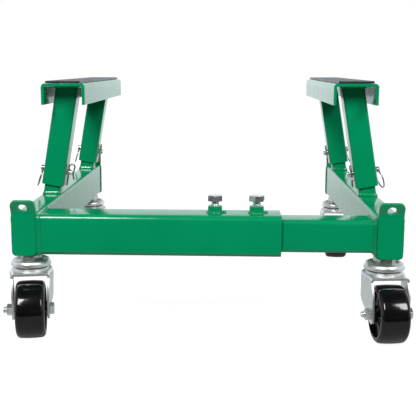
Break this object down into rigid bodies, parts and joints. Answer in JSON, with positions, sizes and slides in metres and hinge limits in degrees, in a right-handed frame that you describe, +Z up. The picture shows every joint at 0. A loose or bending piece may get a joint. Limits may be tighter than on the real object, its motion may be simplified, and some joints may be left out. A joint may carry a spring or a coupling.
{
  "type": "engine stand",
  "caption": "Low adjustable engine cradle: telescoping cross tube, leaning pinned arms under padded channel saddles, on swivel casters.",
  "frame": {"origin": "middle of the stand's footprint, on the floor", "axes": "+X to the right rail, +Y from the cross tube to the back, +Z up"},
  "size_m": [0.5002, 0.5346, 0.308],
  "materials": {
    "green_paint": "gloss green powder coat",
    "zinc_plate": "bright zinc plate",
    "black_rubber": "matt ribbed rubber",
    "wheel_black": "gloss moulded"
  },
  "bodies": {
    "left_frame": {"left_rail": "green_paint", "plate_front_left": "green_paint", "plate_rear_left": "green_paint", "cross_outer_tube": "green_paint", "clamp_nut_1": "green_paint", "clamp_nut_2": "green_paint", "post_front_left": "green_paint", "cap_front_left": "zinc_plate", "ball_ring_front_left": "zinc_plate", "post_rear_left": "green_paint", "cap_rear_left": "zinc_plate", "ball_ring_rear_left": "zinc_plate"},
    "right_frame": {"right_rail": "green_paint", "plate_front_right": "green_paint", "plate_rear_right": "green_paint", "cross_inner_tube": "green_paint", "post_front_right": "green_paint", "cap_front_right": "zinc_plate", "ball_ring_front_right": "zinc_plate", "post_rear_right": "green_paint", "cap_rear_right": "zinc_plate", "ball_ring_rear_right": "zinc_plate"},
    "left_carrier": {"left_saddle": "green_paint", "left_pad": "black_rubber", "sleeve_front_left": "green_paint", "sleeve_rear_left": "green_paint"},
    "right_carrier": {"right_saddle": "green_paint", "right_pad": "black_rubber", "sleeve_front_right": "green_paint", "sleeve_rear_right": "green_paint"},
    "pin_front_left": {"pin_front_left": "zinc_plate"},
    "ring_front_left": {"ring_front_left": "zinc_plate"},
    "clip_front_left": {"clip_front_left": "zinc_plate"},
    "caster_front_left": {"fork_front_left": "zinc_plate", "axle_bolt_front_left": "zinc_plate", "axle_nut_front_left": "zinc_plate"},
    "wheel_front_left": {"wheel_front_left": "wheel_black"},
    "pin_rear_left": {"pin_rear_left": "zinc_plate"},
    "ring_rear_left": {"ring_rear_left": "zinc_plate"},
    "clip_rear_left": {"clip_rear_left": "zinc_plate"},
    "caster_rear_left": {"fork_rear_left": "zinc_plate", "axle_bolt_rear_left": "zinc_plate", "axle_nut_rear_left": "zinc_plate"},
    "wheel_rear_left": {"wheel_rear_left": "wheel_black"},
    "pin_front_right": {"pin_front_right": "zinc_plate"},
    "ring_front_right": {"ring_front_right": "zinc_plate"},
    "clip_front_right": {"clip_front_right": "zinc_plate"},
    "caster_front_right": {"fork_front_right": "zinc_plate", "axle_bolt_front_right": "zinc_plate", "axle_nut_front_right": "zinc_plate"},
    "wheel_front_right": {"wheel_front_right": "wheel_black"},
    "pin_rear_right": {"pin_rear_right": "zinc_plate"},
    "ring_rear_right": {"ring_rear_right": "zinc_plate"},
    "clip_rear_right": {"clip_rear_right": "zinc_plate"},
    "caster_rear_right": {"fork_rear_right": "zinc_plate", "axle_bolt_rear_right": "zinc_plate", "axle_nut_rear_right": "zinc_plate"},
    "wheel_rear_right": {"wheel_rear_right": "wheel_black"},
    "clamp_bolt_1": {"clamp_bolt_1": "zinc_plate"},
    "clamp_bolt_2": {"clamp_bolt_2": "zinc_plate"}
  },
  "joints": [
    {"name": "width_slide", "type": "slide", "parent": "left_frame", "child": "right_frame", "axis": [1, 0, 0], "range_m": [-0.1, 0.06]},
    {"name": "left_height_slide", "type": "slide", "parent": "left_frame", "child": "left_carrier", "axis": [0.1736, 0, 0.9848], "range_m": [0, 0.0762]},
    {"name": "right_height_slide", "type": "slide", "parent": "right_frame", "child": "right_carrier", "axis": [-0.1736, 0, 0.9848], "range_m": [0, 0.0762]},
    {"name": "pin_front_left_pull", "type": "slide", "parent": "left_carrier", "child": "pin_front_left", "axis": [-0.9848, 0, 0.1736], "range_m": [0, 0.045]},
    {"name": "ring_front_left_swing", "type": "hinge", "parent": "pin_front_left", "child": "ring_front_left", "pos_m": [-0.22954, -0.069, 0.18832], "axis": [0, 1, 0], "range_deg": [-8, 90]},
    {"name": "clip_front_left_pull", "type": "slide", "parent": "left_carrier", "child": "clip_front_left", "axis": [0.1736, 0, 0.9848], "range_m": [0, 0.03]},
    {"name": "caster_front_left_swivel", "type": "hinge", "parent": "left_frame", "child": "caster_front_left", "pos_m": [-0.217, -0.204, 0], "axis": [0, 0, 1], "continuous": true},
    {"name": "wheel_front_left_roll", "type": "hinge", "parent": "caster_front_left", "child": "wheel_front_left", "pos_m": [-0.21235, -0.23039, 0.0352], "axis": [0.9848, 0.1736, 0], "continuous": true},
    {"name": "pin_rear_left_pull", "type": "slide", "parent": "left_carrier", "child": "pin_rear_left", "axis": [-0.9848, 0, 0.1736], "range_m": [0, 0.045]},
    {"name": "ring_rear_left_swing", "type": "hinge", "parent": "pin_rear_left", "child": "ring_rear_left", "pos_m": [-0.22954, 0.205, 0.18832], "axis": [0, 1, 0], "range_deg": [-8, 90]},
    {"name": "clip_rear_left_pull", "type": "slide", "parent": "left_carrier", "child": "clip_rear_left", "axis": [0.1736, 0, 0.9848], "range_m": [0, 0.03]},
    {"name": "caster_rear_left_swivel", "type": "hinge", "parent": "left_frame", "child": "caster_rear_left", "pos_m": [-0.217, 0.231, 0], "axis": [0, 0, 1], "continuous": true},
    {"name": "wheel_rear_left_roll", "type": "hinge", "parent": "caster_rear_left", "child": "wheel_rear_left", "pos_m": [-0.21887, 0.20427, 0.0352], "axis": [0.9976, -0.0698, 0], "continuous": true},
    {"name": "pin_front_right_pull", "type": "slide", "parent": "right_carrier", "child": "pin_front_right", "axis": [0.9848, 0, 0.1736], "range_m": [0, 0.045]},
    {"name": "ring_front_right_swing", "type": "hinge", "parent": "pin_front_right", "child": "ring_front_right", "pos_m": [0.22954, -0.069, 0.18832], "axis": [0, -1, 0], "range_deg": [-8, 90]},
    {"name": "clip_front_right_pull", "type": "slide", "parent": "right_carrier", "child": "clip_front_right", "axis": [-0.1736, 0, 0.9848], "range_m": [0, 0.03]},
    {"name": "caster_front_right_swivel", "type": "hinge", "parent": "right_frame", "child": "caster_front_right", "pos_m": [0.217, -0.204, 0], "axis": [0, 0, 1], "continuous": true},
    {"name": "wheel_front_right_roll", "type": "hinge", "parent": "caster_front_right", "child": "wheel_front_right", "pos_m": [0.21934, -0.2307, 0.0352], "axis": [0.9962, 0.0872, 0], "continuous": true},
    {"name": "pin_rear_right_pull", "type": "slide", "parent": "right_carrier", "child": "pin_rear_right", "axis": [0.9848, 0, 0.1736], "range_m": [0, 0.045]},
    {"name": "ring_rear_right_swing", "type": "hinge", "parent": "pin_rear_right", "child": "ring_rear_right", "pos_m": [0.22954, 0.205, 0.18832], "axis": [0, -1, 0], "range_deg": [-8, 90]},
    {"name": "clip_rear_right_pull", "type": "slide", "parent": "right_carrier", "child": "clip_rear_right", "axis": [-0.1736, 0, 0.9848], "range_m": [0, 0.03]},
    {"name": "caster_rear_right_swivel", "type": "hinge", "parent": "right_frame", "child": "caster_rear_right", "pos_m": [0.217, 0.231, 0], "axis": [0, 0, 1], "continuous": true},
    {"name": "wheel_rear_right_roll", "type": "hinge", "parent": "caster_rear_right", "child": "wheel_rear_right", "pos_m": [0.2149, 0.20428, 0.0352], "axis": [0.9969, -0.0785, 0], "continuous": true},
    {"name": "clamp_bolt_1_lift", "type": "slide", "parent": "left_frame", "child": "clamp_bolt_1", "axis": [0, 0, 1], "range_m": [0, 0.012]},
    {"name": "clamp_bolt_2_lift", "type": "slide", "parent": "left_frame", "child": "clamp_bolt_2", "axis": [0, 0, 1], "range_m": [0, 0.012]}
  ]
}
